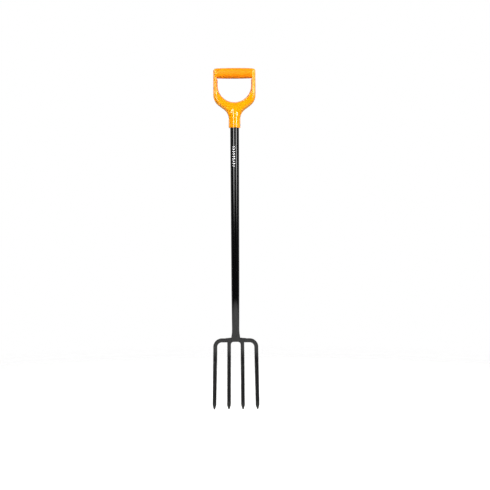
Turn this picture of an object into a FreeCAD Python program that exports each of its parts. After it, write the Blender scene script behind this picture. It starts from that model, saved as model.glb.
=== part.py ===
import FreeCAD, Part
import Sketcher
import math
import os

# Digging fork with a D-handle, in millimetres.
# X runs across the tines, Z runs up from the tips of the tines, and the load side faces -Y.
# Every piece is modelled about the straight upper part of the shaft as its Z axis.
# Placement then moves them all together, so that the origin is under the middle of the whole tool.

SIZES = [
    # D-handle
    ("grip_axis_z", 1181.2),
    ("grip_radius_mid", 18.8),
    ("grip_radius_end", 17.7),
    ("grip_flatten", 0.92),
    ("grip_half_length", 62),
    ("grip_core_radius", 11.5),
    ("arm_top_z", 1198.4),
    ("arm_half_span", 74.4),
    ("arm_corner_radius", 10),
    ("arm_straight_z", 1106),
    ("arm_lower_radius", 49),
    ("opening_half_width", 58.6),
    ("opening_top_z", 1162.6),
    ("opening_centre_z", 1138.6),
    ("shoulder_angle", 53.5),
    ("shoulder_to_neck_radius", 40),
    ("neck_half_width", 20.5),
    ("neck_core_radius", 17),
    ("neck_dome_radius", 85),
    ("neck_mouth_z", 989),
    ("neck_blend_z", 1021),
    ("neck_round_top_z", 1034),
    ("neck_dome_z", 1064),
    ("frame_half_depth", 14.5),
    ("frame_edge_round", 6),
    # shaft
    ("shaft_top_z", 1034),
    ("shaft_top_radius", 14.75),
    ("shaft_low_radius", 13.15),
    ("shaft_wall", 1.6),
    ("socket_gap", 0.05),
    ("bend_corner_z", 382),
    ("bend_radius", 420),
    ("lean_angle", 10),
    # head
    ("bar_half_depth", 6.25),
    ("bar_middle_top_z", 247.9),
    ("bar_middle_low_z", 235.9),
    ("bar_joint_x", 33),
    ("outer_corner_x", 48.8),
    ("outer_corner_z", 216.6),
    ("outer_corner_radius", 30),
    ("inner_corner_radius", 17.6),
    ("outer_tip_x", 76),
    ("inner_top_x", 23.5),
    ("inner_tip_x", 24.8),
    ("tine_top_half_width", 5.5),
    ("tine_low_half_width", 5.4),
    ("tine_low_half_depth", 4.8),
    ("point_length", 15),
    ("point_half_size", 0.9),
    ("crotch_outer_radius", 3.5),
    ("crotch_inner_radius", 11),
    ("curl_corner_z", 190),
    ("curl_radius", 150),
    ("curl_angle", 10),
    ("tine_edge_chamfer", 1.6),
    ("bar_weld_half_length", 4),
    ("bar_weld_stand", 1.1),
    ("bar_weld_swell", 1.12),
    ("foot_weld_leg", 4.5),
    ("foot_weld_bury", 1.5),
    ("lip_weld_stand", 0.6),
    # small pieces
    ("print_low_z", 851.5),
    ("print_pitch", 8.4),
    ("print_centre_x", -3.3),
    ("print_arm_length", 4.6),
    ("print_arm_width", 3),
    ("print_slant", 28),
    ("print_thickness", 0.12),
    ("screw_z", 1008),
    ("screw_thread_radius", 2),
    ("screw_head_radius", 4.2),
    ("screw_head_height", 2.4),
    ("screw_end_y", 10.5),
    ("screw_under_head_y", 15.7),
    ("screw_gap", 0.25),
    ("screw_slot_half_width", 0.6),
    ("screw_slot_depth", 1),
    # where the shaft stands in the tool's own frame
    ("shaft_axis_y", -10.2),
]
PRINT_MARKS = 9
CUT_HALF_SIZE = 130  # half the size of cutters that reach past the tool
LOWER_SHAFT = [
    # The outside of the shaft below its straight part: half width, half depth, squareness.
    # The first five lie at even steps round the bend, and the rest at the heights that follow.
    (13.15, 13.15, 2.0),
    (13.0, 13.25, 2.0),
    (12.85, 13.4, 2.0),
    (12.65, 13.6, 2.0),
    (12.55, 13.75, 2.0),
    (12.45, 13.9, 2.0),
    (12.15, 13.8, 2.05),
    (12.05, 12.8, 2.2),
    (12.9, 10.7, 2.6),
    (14.4, 8.9, 3.0),
    (15.15, 8.2, 3.2),
    (15.3, 8.1, 3.2),
]
BEND_STEPS = 4
STRAIGHT_HEIGHTS = [318, 292, 277, 264, 255, 247, 239.5]
XZ, YZ = "XZ_Plane", "YZ_Plane"

doc = FreeCAD.newDocument("digging_fork")
sheet = doc.addObject("Spreadsheet::Sheet", "Sizes")
for step, height in enumerate(STRAIGHT_HEIGHTS):
    SIZES.append((f"section_{step}_height", height))
for step, (half_width, half_depth, squareness) in enumerate(LOWER_SHAFT):
    SIZES.append((f"section_{step}_half_width", half_width))
    SIZES.append((f"section_{step}_half_depth", half_depth))
    SIZES.append((f"section_{step}_squareness", squareness))
for row, (alias, number) in enumerate(SIZES, start=1):
    sheet.set(f"A{row}", alias)
    sheet.set(f"B{row}", str(number))
    sheet.setAlias(f"B{row}", alias)
doc.recompute()

pieces = []


def worked(expression):
    """The value of an expression on the sheet."""
    return float(sheet.evalExpression(expression))


def keep(piece, label):
    """Names a finished piece and moves it from the shaft's axis to the tool's frame."""
    piece.Label = label
    piece.setExpression("Placement.Base.y", "Sizes.shaft_axis_y")
    pieces.append(piece)


def new_body(name):
    return doc.addObject("PartDesign::Body", name)


def new_sketch(body, name, plane):
    sketch = body.newObject("Sketcher::SketchObject", name)
    base = next(f for f in body.Origin.OriginFeatures if f.Role == plane)
    sketch.AttachmentSupport = [(base, "")]
    sketch.MapMode = "FlatFace"
    return sketch


def arc_between(start, end, radius):
    """The short arc from start to end. A positive radius turns left, and a negative one turns right."""
    middle = (start + end) * 0.5
    chord = end - start
    half = chord.Length / 2
    side = FreeCAD.Vector(-chord.y, chord.x, 0).normalize()
    sign = math.copysign(1, radius)
    centre = middle + side * sign * math.sqrt(max(radius * radius - half * half, 0))
    bulge = middle - centre
    if bulge.Length < 1e-6:
        bulge = side * -sign
    through = centre + bulge.normalize() * abs(radius)
    return Part.Arc(start, through, end)


def outline(sketch, corners):
    """Draws a closed outline. Each corner is (x, y, radius of the edge that leaves it, or None)."""
    first = sketch.GeometryCount
    count = len(corners)
    places = [FreeCAD.Vector(worked(x), worked(y), 0) for x, y, _ in corners]
    for i, (_, _, radius) in enumerate(corners):
        start, end = places[i], places[(i + 1) % count]
        if radius is None:
            sketch.addGeometry(Part.LineSegment(start, end), False)
        else:
            sketch.addGeometry(arc_between(start, end, worked(radius)), False)
    ends = {}
    for i, (_, _, radius) in enumerate(corners):
        turned = radius is not None and worked(radius) < 0
        ends[i] = (2, 1) if turned else (1, 2)
    for i in range(count):
        following = (i + 1) % count
        sketch.addConstraint(
            Sketcher.Constraint(
                "Coincident", first + i, ends[i][1], first + following, ends[following][0]
            )
        )
    for i, (x, y, radius) in enumerate(corners):
        for kind, expression, number in (("DistanceX", x, places[i].x), ("DistanceY", y, places[i].y)):
            name = f"{kind}{first + i}"
            at = sketch.addConstraint(Sketcher.Constraint(kind, first + i, ends[i][0], number))
            sketch.renameConstraint(at, name)
            sketch.setExpression(f"Constraints.{name}", expression)
        if radius is not None:
            name = f"Radius{first + i}"
            size = abs(worked(radius))
            at = sketch.addConstraint(Sketcher.Constraint("Radius", first + i, size))
            sketch.renameConstraint(at, name)
            sketch.setExpression(f"Constraints.{name}", f"abs({radius})")


def mirrored(corners):
    """The corners of the other half, in the order that carries on round the outline."""
    radii = [radius for _, _, radius in corners]
    flipped = [(f"-({x})", y) for x, y, _ in corners]
    return [
        (x, y, radii[i - 1] if i > 0 else None)
        for i, (x, y) in reversed(list(enumerate(flipped)))
    ]


def add_pad(body, sketch, name, length):
    pad = body.newObject("PartDesign::Pad", name)
    pad.Profile = sketch
    pad.SideType = "Symmetric"
    pad.setExpression("Length", length)
    return pad


def add_cut(body, sketch, name):
    pocket = body.newObject("PartDesign::Pocket", name)
    pocket.Profile = sketch
    pocket.Type = "Length"
    pocket.SideType = "Symmetric"
    pocket.Length = 4 * CUT_HALF_SIZE
    return pocket


def add_turned(body, sketch, name, kind="PartDesign::Revolution"):
    turned = body.newObject(kind, name)
    turned.Profile = sketch
    turned.ReferenceAxis = (sketch, ["V_Axis"])
    turned.Angle = 360
    return turned


# ---------------------------------------------------------------- head of the fork
# All the head's bars lie in one strip seen from the side: it leans back with the foot of the
# shaft, then curls forward to the tips. It is cut out of a deep pad of each bar's front view.

LEAN_Y = "(Sizes.bend_corner_z - {z}) * tan(Sizes.lean_angle)"
CURL_Y = LEAN_Y.format(z="Sizes.curl_corner_z")


def strip_edge(side):
    """The strip's front edge (side -1) or back edge (side 1), from above the bar to the tips."""
    offset = f"({side} * Sizes.bar_half_depth)"
    radius = f"(Sizes.curl_radius + {offset})"
    tangent = f"({radius} * tan((Sizes.lean_angle + Sizes.curl_angle) / 2))"
    top_z = "(Sizes.bar_middle_top_z + 30)"
    return [
        (f"{LEAN_Y.format(z=top_z)} + {offset}", top_z, None),
        (
            f"{CURL_Y} + {offset} - {tangent} * sin(Sizes.lean_angle)",
            f"Sizes.curl_corner_z + {tangent} * cos(Sizes.lean_angle)",
            f"-{radius}",
        ),
        (
            f"{CURL_Y} + {offset} - {tangent} * sin(Sizes.curl_angle)",
            f"Sizes.curl_corner_z - {tangent} * cos(Sizes.curl_angle)",
            None,
        ),
        (
            f"{CURL_Y} - (Sizes.curl_corner_z - Sizes.point_length) * tan(Sizes.curl_angle)"
            f" + {side} * Sizes.tine_low_half_depth",
            "Sizes.point_length",
            None,
        ),
        (
            f"{CURL_Y} - Sizes.curl_corner_z * tan(Sizes.curl_angle) + {side} * Sizes.point_half_size",
            "0",
            None,
        ),
    ]


def side_trim(body):
    """Cuts away what lies in front of the strip and behind it."""
    sketch = new_sketch(body, f"{body.Name}_side", YZ)
    for side in (-1, 1):
        edge = strip_edge(side)
        far = f"{side * CUT_HALF_SIZE}"
        last_y = edge[-1][0]
        around = [(last_y, "-10", None), (far, "-10", None), (far, edge[0][1], None)]
        outline(sketch, edge + around)
    return add_cut(body, sketch, f"{body.Name}_strip")


def long_edges(shape, low_z, high_z):
    """The names of the edges that run along the bars, between two heights."""
    found = []
    for i, edge in enumerate(shape.Edges, start=1):
        box = edge.BoundBox
        tall = box.ZLength > 25 or box.XLength > 12
        if tall and box.ZMin > low_z and box.ZMax < high_z and box.YLength < 60:
            found.append(f"Edge{i}")
    return found


def soften(body, feature):
    """Takes the corners off the long edges of a bar."""
    doc.recompute()
    chamfer = body.newObject("PartDesign::Chamfer", f"{body.Name}_edges")
    low_z = worked("Sizes.point_length") - 1
    high_z = worked("Sizes.bar_middle_top_z") + 1
    names = long_edges(feature.Shape, low_z, high_z)
    chamfer.Base = (feature, names)
    chamfer.setExpression("Size", "Sizes.tine_edge_chamfer")
    return chamfer


def tine_point(tip_x, sign):
    """The outline of a tine's point, crossing it in the direction of sign."""
    wide, narrow = "Sizes.tine_low_half_width", "Sizes.point_half_size"
    return [
        (f"{tip_x} - {sign} * {wide}", "Sizes.point_length", None),
        (f"{tip_x} - {sign} * {narrow}", "0", None),
        (f"{tip_x} + {sign} * {narrow}", "0", None),
        (f"{tip_x} + {sign} * {wide}", "Sizes.point_length", None),
    ]


def make_centre_tines():
    """The short middle of the crossbar, with the two inner tines."""
    body = new_body("CentreTines")
    outer, inner = "Sizes.crotch_outer_radius", "Sizes.crotch_inner_radius"
    low = "Sizes.bar_middle_low_z"
    outside = "Sizes.inner_top_x + Sizes.tine_top_half_width"
    inside = "Sizes.inner_top_x - Sizes.tine_top_half_width"
    right = [
        ("Sizes.bar_joint_x", "Sizes.bar_middle_top_z", None),
        ("Sizes.bar_joint_x", low, None),
        (f"{outside} + {outer}", low, outer),
        (outside, f"{low} - {outer}", None),
        *tine_point("Sizes.inner_tip_x", -1),
        (inside, f"{low} - {inner}", inner),
        (f"{inside} - {inner}", low, None),
    ]
    left = mirrored(right)
    sketch = new_sketch(body, "centre_front", XZ)
    outline(sketch, right + left)
    add_pad(body, sketch, "centre_pad", f"{2 * CUT_HALF_SIZE}")
    strip = side_trim(body)
    soften(body, strip)
    keep(body, "centre_tines")


def make_outer_tine(name, label, sign):
    """One bent bar: half of the shoulder, the corner and the outer tine."""
    body = new_body(name)
    corner_x, corner_z = "Sizes.outer_corner_x", "Sizes.outer_corner_z"
    big, small = "Sizes.outer_corner_radius", "Sizes.inner_corner_radius"
    right = [
        ("Sizes.bar_joint_x", f"{corner_z} + {big}", None),
        (corner_x, f"{corner_z} + {big}", f"-{big}"),
        (f"{corner_x} + {big}", corner_z, None),
        *tine_point("Sizes.outer_tip_x", -1),
        (f"{corner_x} + {small}", corner_z, small),
        (corner_x, f"{corner_z} + {small}", None),
        ("Sizes.bar_joint_x", f"{corner_z} + {small}", None),
    ]
    corners = right if sign > 0 else mirrored(right)
    sketch = new_sketch(body, f"{name}_front", XZ)
    outline(sketch, corners)
    add_pad(body, sketch, f"{name}_pad", f"{2 * CUT_HALF_SIZE}")
    strip = side_trim(body)
    soften(body, strip)
    keep(body, label)


make_centre_tines()
make_outer_tine("RightTine", "outer_tine_right", 1)
make_outer_tine("LeftTine", "outer_tine_left", -1)

# ---------------------------------------------------------------- shaft

SHAFT_TANGENT = "Sizes.bend_radius * tan(Sizes.lean_angle / 2)"
STRAIGHT_LOW_Z = f"(Sizes.bend_corner_z + {SHAFT_TANGENT})"


def add_part(kind, name, shifted=True, **sizes):
    """A Part primitive or operation. Shifted ones stand on the shaft's axis in the tool's frame."""
    made = doc.addObject(kind, name)
    if shifted:
        made.setExpression("Placement.Base.y", "Sizes.shaft_axis_y")
    for size, expression in sizes.items():
        made.setExpression(size, expression)
    return made


def cut_from(name, base, tool):
    cut = doc.addObject("Part::Cut", name)
    cut.Base = base
    cut.Tool = tool
    return cut


def fused(name, shapes):
    fuse = doc.addObject("Part::MultiFuse", name)
    fuse.Shapes = shapes
    return fuse


def section_place(step):
    """Where a section of the lower shaft lies: its y, its height and how far it leans."""
    lean = math.radians(worked("Sizes.lean_angle"))
    if step <= BEND_STEPS:
        turn = lean * step / BEND_STEPS
        radius = worked("Sizes.bend_radius")
        return radius * (1 - math.cos(turn)), worked(STRAIGHT_LOW_Z) - radius * math.sin(turn), turn
    height = worked(f"Sizes.section_{step - BEND_STEPS - 1}_height")
    return (worked("Sizes.bend_corner_z") - height) * math.tan(lean), height, lean


def oval_wire(place, half_width, half_depth, squareness):
    """A closed superellipse |x/a|^n + |d/b|^n = 1, leaning with the shaft about X."""
    y, z, turn = place
    points = []
    for i in range(48):
        angle = math.pi / 2 + 2 * math.pi * i / 48
        across, deep = math.cos(angle), math.sin(angle)
        x = half_width * math.copysign(abs(across) ** (2 / squareness), across)
        d = half_depth * math.copysign(abs(deep) ** (2 / squareness), deep)
        points.append(FreeCAD.Vector(x, y + d * math.cos(turn), z + d * math.sin(turn)))
    curve = Part.BSplineCurve()
    curve.interpolate(points, PeriodicFlag=True)
    return Part.Wire([curve.toShape()])


def section_size(step):
    """The half width, half depth and squareness of a section of the lower shaft."""
    sizes = ("half_width", "half_depth", "squareness")
    return [worked(f"Sizes.section_{step}_{size}") for size in sizes]


def lower_shaft(name, inset):
    """The bent and squeezed part of the shaft, as a solid that is inset from the outside."""
    wires = []
    for step in range(len(LOWER_SHAFT)):
        half_width, half_depth, squareness = section_size(step)
        wires.append(oval_wire(section_place(step), half_width - inset, half_depth - inset, squareness))
    loft = doc.addObject("Part::Feature", name)
    loft.Shape = Part.makeLoft(wires, True, False)
    loft.setExpression("Placement.Base.y", "Sizes.shaft_axis_y")
    return loft


def upper_shaft(name, inset):
    cone = add_part(
        "Part::Cone",
        name,
        Radius1=f"Sizes.shaft_low_radius - {inset}",
        Radius2=f"Sizes.shaft_top_radius - {inset}",
        Height=f"Sizes.shaft_top_z - {STRAIGHT_LOW_Z}",
    )
    cone.setExpression("Placement.Base.z", STRAIGHT_LOW_Z)
    return cone


def radius_at(height):
    """The straight shaft's outside radius at a height, as an expression."""
    return (
        f"(Sizes.shaft_low_radius + (Sizes.shaft_top_radius - Sizes.shaft_low_radius)"
        f" * ({height} - {STRAIGHT_LOW_Z}) / (Sizes.shaft_top_z - {STRAIGHT_LOW_Z}))"
    )


def make_shaft():
    """The steel tube, notched over the crossbar and drilled for the handle's screw."""
    wall = "Sizes.shaft_wall"
    outside = fused("ShaftOutside", [upper_shaft("UpperOutside", "0"), lower_shaft("LowerOutside", 0)])
    bore = [upper_shaft("UpperInside", wall), lower_shaft("LowerInside", worked(wall))]
    inside = fused("ShaftInside", bore)
    drill = add_part(
        "Part::Cylinder",
        "ShaftDrill",
        Radius="Sizes.screw_thread_radius",
        Height="Sizes.neck_half_width",
    )
    drill.Placement.Rotation = FreeCAD.Rotation(FreeCAD.Vector(1, 0, 0), -90)
    drill.setExpression("Placement.Base.z", "Sizes.screw_z")
    tube = cut_from("ShaftShell", outside, inside)
    notched = cut_from("ShaftNotched", tube, doc.CentreTines)
    drilled = cut_from("Shaft", notched, drill)
    drilled.Label = "shaft_tube"
    pieces.append(drilled)
    return outside


def make_print():
    """A row of plain chevrons, printed thinly down the front of the shaft."""
    shells = []
    for name, stand in (("PrintSkin", "Sizes.print_thickness"), ("PrintCore", "0")):
        low, high = "(Sizes.print_low_z - 10)", "(Sizes.print_low_z + 90)"
        shell = add_part(
            "Part::Cone",
            name,
            Radius1=f"{radius_at(low)} + {stand}",
            Radius2=f"{radius_at(high)} + {stand}",
            Height=f"{high} - {low}",
        )
        shell.setExpression("Placement.Base.z", low)
        shells.append(shell)
    marks = []
    for i in range(PRINT_MARKS):
        for sign in (-1, 1):
            bar = add_part(
                "Part::Box",
                f"PrintBar{len(marks)}",
                False,
                Length="Sizes.print_arm_length",
                Width="Sizes.neck_half_width",
                Height="Sizes.print_arm_width",
            )
            turn = worked("Sizes.print_slant")
            half_turn = FreeCAD.Rotation(FreeCAD.Vector(0, 0, 1), 180 if sign < 0 else 0)
            bar.Placement.Rotation = half_turn * FreeCAD.Rotation(FreeCAD.Vector(0, 1, 0), -turn)
            reach = "Sizes.neck_half_width" if sign > 0 else "0"
            bar.setExpression("Placement.Base.y", f"Sizes.shaft_axis_y - {reach}")
            bar.setExpression("Placement.Base.x", "Sizes.print_centre_x")
            bar.setExpression("Placement.Base.z", f"Sizes.print_low_z + {i} * Sizes.print_pitch")
            marks.append(bar)
    common = doc.addObject("Part::Common", "Print")
    common.Base = cut_from("PrintShell", shells[0], shells[1])
    common.Tool = fused("PrintBars", marks)
    common.Label = "shaft_print"
    pieces.append(common)


# ---------------------------------------------------------------- welds


FOOT = len(LOWER_SHAFT) - 1  # the section at the shaft's low end


def ring_wire(height, grow_width, grow_depth):
    """The foot's outline at a height on its leaning centreline, grown to both sides."""
    lean = math.radians(worked("Sizes.lean_angle"))
    y = (worked("Sizes.bend_corner_z") - height) * math.tan(lean)
    half_width, half_depth, squareness = section_size(FOOT)
    return oval_wire((y, height, lean), half_width + grow_width, half_depth + grow_depth, squareness)


def make_foot_weld(outside):
    """Four beads: two wedges on top of the crossbar, and one under each lip of the shaft's foot."""
    leg = worked("Sizes.foot_weld_leg")
    bury = worked("Sizes.foot_weld_bury")
    stand = worked("Sizes.lip_weld_stand")
    bar_top = worked("Sizes.bar_middle_top_z")
    lip_z = worked(f"Sizes.section_{len(STRAIGHT_HEIGHTS) - 1}_height")
    # the wedges stay just inside the bar's front and back faces
    depth = worked(f"Sizes.bar_half_depth - 0.3 - Sizes.section_{FOOT}_half_depth")
    rings = {
        # each ring is its height, and how far it stands out sideways and forwards
        "WeldSides": [
            (bar_top - bury, leg, depth),
            (bar_top + leg + bury, 0.2, depth - 1),
        ],
        "WeldLips": [
            (lip_z - 1.9, 0, 0.2),
            (lip_z - stand, stand, 2 * stand),
            (lip_z + 2.6, stand, 1.5 * stand),
            (lip_z + 3.8, 0, 0.1),
        ],
    }
    blanks = []
    for name, sections in rings.items():
        blank = doc.addObject("Part::Feature", name)
        blank.Shape = Part.makeLoft([ring_wire(*section) for section in sections], True, True)
        blank.setExpression("Placement.Base.y", "Sizes.shaft_axis_y")
        blanks.append(blank)
    trimmed = []
    for blank in blanks:
        tool = fused(f"{blank.Name}Tool", [outside, doc.CentreTines])
        trimmed.append(cut_from(f"{blank.Name}Trimmed", blank, tool))
    beads = fused("FootWeld", trimmed)
    beads.Label = "shaft_weld_beads"
    pieces.append(beads)


def make_bar_welds():
    """A ring of weld round each butt joint between two bars. The left one mirrors the right one."""
    middle_z = "(Sizes.bar_middle_top_z + Sizes.bar_middle_low_z) / 2"
    half_height = "(Sizes.bar_middle_top_z - Sizes.bar_middle_low_z) / 2"
    blob = add_part(
        "Part::Ellipsoid",
        "WeldBlob",
        False,
        Radius1=f"{half_height} * Sizes.bar_weld_swell + Sizes.bar_weld_stand",
        Radius2="Sizes.bar_weld_half_length",
        Radius3="Sizes.bar_half_depth * Sizes.bar_weld_swell + Sizes.bar_weld_stand",
    )
    blob.Placement.Rotation = FreeCAD.Rotation(FreeCAD.Vector(1, 0, 0), worked("Sizes.lean_angle"))
    blob.setExpression("Placement.Base.x", "Sizes.bar_joint_x")
    blob.setExpression("Placement.Base.y", f"{LEAN_Y.format(z=f'({middle_z})')} + Sizes.shaft_axis_y")
    blob.setExpression("Placement.Base.z", middle_z)
    ring = cut_from("RightWeld", cut_from("RightWeldHalf", blob, doc.CentreTines), doc.RightTine)
    ring.Label = "bar_weld_right"
    other = doc.addObject("Part::Mirroring", "LeftWeld")
    other.Source = ring
    other.Normal = FreeCAD.Vector(1, 0, 0)
    other.Label = "bar_weld_left"
    pieces.extend([ring, other])


# ---------------------------------------------------------------- D-handle


def make_handle_frame():
    """The moulded frame: two arms on a web, the bar's core, and the round neck with its socket."""
    body = new_body("HandleFrame")
    angle = "Sizes.shoulder_angle"
    arc_x = "(Sizes.arm_half_span - Sizes.arm_lower_radius)"
    corner = "Sizes.arm_corner_radius"
    right = [
        (f"Sizes.arm_half_span - {corner}", "Sizes.arm_top_z", f"-{corner}"),
        ("Sizes.arm_half_span", f"Sizes.arm_top_z - {corner}", None),
        ("Sizes.arm_half_span", "Sizes.arm_straight_z", "-Sizes.arm_lower_radius"),
        (
            f"{arc_x} + Sizes.arm_lower_radius * cos({angle})",
            f"Sizes.arm_straight_z - Sizes.arm_lower_radius * sin({angle})",
            None,
        ),
        (
            f"Sizes.neck_half_width + Sizes.shoulder_to_neck_radius * (1 - cos({angle}))",
            f"Sizes.neck_blend_z + Sizes.shoulder_to_neck_radius * sin({angle})",
            "Sizes.shoulder_to_neck_radius",
        ),
        ("Sizes.neck_half_width", "Sizes.neck_blend_z", None),
    ]
    half, centre = "Sizes.opening_half_width", "Sizes.opening_centre_z"
    opening = [
        (f"-{half}", centre, half),
        ("0", f"{centre} - {half}", half),
        (half, centre, None),
        (half, "Sizes.opening_top_z", None),
        (f"-{half}", "Sizes.opening_top_z", None),
    ]
    front = new_sketch(body, "handle_front", XZ)
    outline(front, right + mirrored(right))
    outline(front, opening)
    pad = add_pad(body, front, "handle_pad", "2 * Sizes.frame_half_depth")
    doc.recompute()
    soft = body.newObject("PartDesign::Fillet", "handle_edges")
    soft.Base = (pad, outline_edges(pad.Shape))
    soft.setExpression("Radius", "Sizes.frame_edge_round")

    window = new_sketch(body, "sleeve_window", XZ)
    end, top = "Sizes.grip_half_length", "Sizes.arm_top_z + 5"
    low = "Sizes.opening_top_z - 0.1"
    corners = [(f"-{end}", low), (end, low), (end, top), (f"-{end}", top)]
    outline(window, [(x, z, None) for x, z in corners])
    add_cut(body, window, "sleeve_room")

    neck = new_sketch(body, "neck_profile", XZ)
    outline(
        neck,
        [
            ("0", "Sizes.neck_mouth_z", None),
            ("Sizes.neck_core_radius", "Sizes.neck_mouth_z", None),
            ("Sizes.neck_core_radius", "Sizes.neck_round_top_z", "Sizes.neck_dome_radius"),
            ("Sizes.frame_half_depth - 3", "Sizes.neck_dome_z", None),
            ("0", "Sizes.neck_dome_z", None),
        ],
    )
    add_turned(body, neck, "neck_round")

    core = new_sketch(body, "core_circle", YZ)
    radius, height = worked("Sizes.grip_core_radius"), worked("Sizes.grip_axis_z")
    centre = FreeCAD.Vector(0, height, 0)
    circle = core.addGeometry(Part.Circle(centre, FreeCAD.Vector(0, 0, 1), radius), False)
    rules = (
        ("Radius", Sketcher.Constraint("Radius", circle, radius), "Sizes.grip_core_radius"),
        ("Height", Sketcher.Constraint("DistanceY", circle, 3, height), "Sizes.grip_axis_z"),
    )
    for name, rule, expression in rules:
        core.renameConstraint(core.addConstraint(rule), name)
        core.setExpression(f"Constraints.{name}", expression)
    core.addConstraint(Sketcher.Constraint("PointOnObject", circle, 3, -2))
    add_pad(body, core, "grip_core", "2 * Sizes.grip_half_length + 2")

    socket = new_sketch(body, "socket_profile", XZ)
    mouth = radius_at("Sizes.neck_mouth_z")
    outline(
        socket,
        [
            ("0", "Sizes.neck_mouth_z", None),
            (f"{mouth} + Sizes.socket_gap", "Sizes.neck_mouth_z", None),
            ("Sizes.shaft_top_radius + Sizes.socket_gap", "Sizes.shaft_top_z", None),
            ("0", "Sizes.shaft_top_z", None),
        ],
    )
    add_turned(body, socket, "socket", "PartDesign::Groove")

    seat = turned_about_screw(body, "screw_seat", 4, "Sizes.screw_gap", "Sizes.neck_core_radius + 2")
    add_turned(body, seat, "screw_hole", "PartDesign::Groove").ReferenceAxis = (seat, ["Axis0"])
    keep(body, "handle_frame")


def turned_about_screw(body, name, deeper, gap, outer_y):
    """Half the screw's lengthwise section, grown by a gap, beside the screw's own axis."""
    sketch = new_sketch(body, name, YZ)
    start, under, axis = f"Sizes.screw_end_y + {deeper}", "Sizes.screw_under_head_y", "Sizes.screw_z"
    outline(
        sketch,
        [
            (start, axis, None),
            (outer_y, axis, None),
            (outer_y, f"{axis} + Sizes.screw_head_radius + {gap}", None),
            (under, f"{axis} + Sizes.screw_head_radius + {gap}", None),
            (under, f"{axis} + Sizes.screw_thread_radius + {gap}", None),
            (start, f"{axis} + Sizes.screw_thread_radius + {gap}", None),
        ],
    )
    height = worked(axis)
    line = Part.LineSegment(FreeCAD.Vector(0, height, 0), FreeCAD.Vector(worked(outer_y), height, 0))
    at = sketch.addGeometry(line, True)
    sketch.addConstraint(Sketcher.Constraint("Horizontal", at))
    sketch.addConstraint(Sketcher.Constraint("PointOnObject", 0, 1, at))
    return sketch


def make_handle_screw():
    """A pan-head screw through the back of the neck into the shaft."""
    body = new_body("HandleScrew")
    head_top = "Sizes.screw_under_head_y + Sizes.screw_head_height"
    profile = turned_about_screw(body, "screw_profile", 0, "0", head_top)
    turned = add_turned(body, profile, "screw_turned")
    turned.ReferenceAxis = (profile, ["Axis0"])
    slot = new_sketch(body, "screw_slot", YZ)
    near = f"{head_top} - Sizes.screw_slot_depth"
    far = f"{head_top} + Sizes.screw_slot_depth"
    low = "Sizes.screw_z - Sizes.screw_slot_half_width"
    high = "Sizes.screw_z + Sizes.screw_slot_half_width"
    outline(slot, [(near, low, None), (far, low, None), (far, high, None), (near, high, None)])
    add_cut(body, slot, "screw_slot_cut")
    keep(body, "handle_screw")


def outline_edges(shape):
    """The edges round the frame's flat front and back."""
    edges = enumerate(shape.Edges, start=1)
    return [f"Edge{i}" for i, edge in edges if edge.BoundBox.YLength < 1e-3]


def make_grip_sleeve():
    """The soft sleeve: an oval barrel on the bar's core."""
    sections = []
    taper = "(Sizes.grip_radius_end - Sizes.grip_radius_mid)"
    for i, share in enumerate((-1, -0.5, 0, 0.5, 1)):
        radius = f"(Sizes.grip_radius_mid + {taper} * {share * share})"
        oval = add_part(
            "Part::Ellipse",
            f"SleeveOval{i}",
            MajorRadius=radius,
            MinorRadius=f"{radius} * Sizes.grip_flatten",
        )
        oval.Placement.Rotation = FreeCAD.Rotation(FreeCAD.Vector(0, 1, 0), -90)
        oval.setExpression("Placement.Base.x", f"{share} * Sizes.grip_half_length")
        oval.setExpression("Placement.Base.z", "Sizes.grip_axis_z")
        sections.append(oval)
    barrel = doc.addObject("Part::Loft", "SleeveBarrel")
    barrel.Sections = sections
    barrel.Solid = True
    core = add_part(
        "Part::Cylinder",
        "SleeveBore",
        Radius="Sizes.grip_core_radius",
        Height="2 * Sizes.grip_half_length",
    )
    core.Placement.Rotation = FreeCAD.Rotation(FreeCAD.Vector(0, 1, 0), 90)
    core.setExpression("Placement.Base.x", "-Sizes.grip_half_length")
    core.setExpression("Placement.Base.z", "Sizes.grip_axis_z")
    sleeve = cut_from("Sleeve", barrel, core)
    sleeve.Label = "grip_sleeve"
    pieces.append(sleeve)


outside = make_shaft()
make_print()
make_foot_weld(outside)
make_bar_welds()
make_grip_sleeve()
make_handle_frame()
make_handle_screw()

doc.recompute()
for o in doc.Objects:
    bad = [word for word in o.State if word in ("Invalid", "Error")]
    if bad:
        raise RuntimeError(f"{o.Name} failed: {o.State} {o.getStatusString()}")
os.makedirs("parts", exist_ok=True)
for piece in pieces:
    shape = piece.Shape
    if shape.isNull() or not shape.isValid():
        raise RuntimeError(f"{piece.Label} has no valid shape")
    print(piece.Label, len(shape.Solids), round(shape.Volume), shape.BoundBox)
    shape.exportStep(f"parts/{piece.Label}.step")
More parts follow.
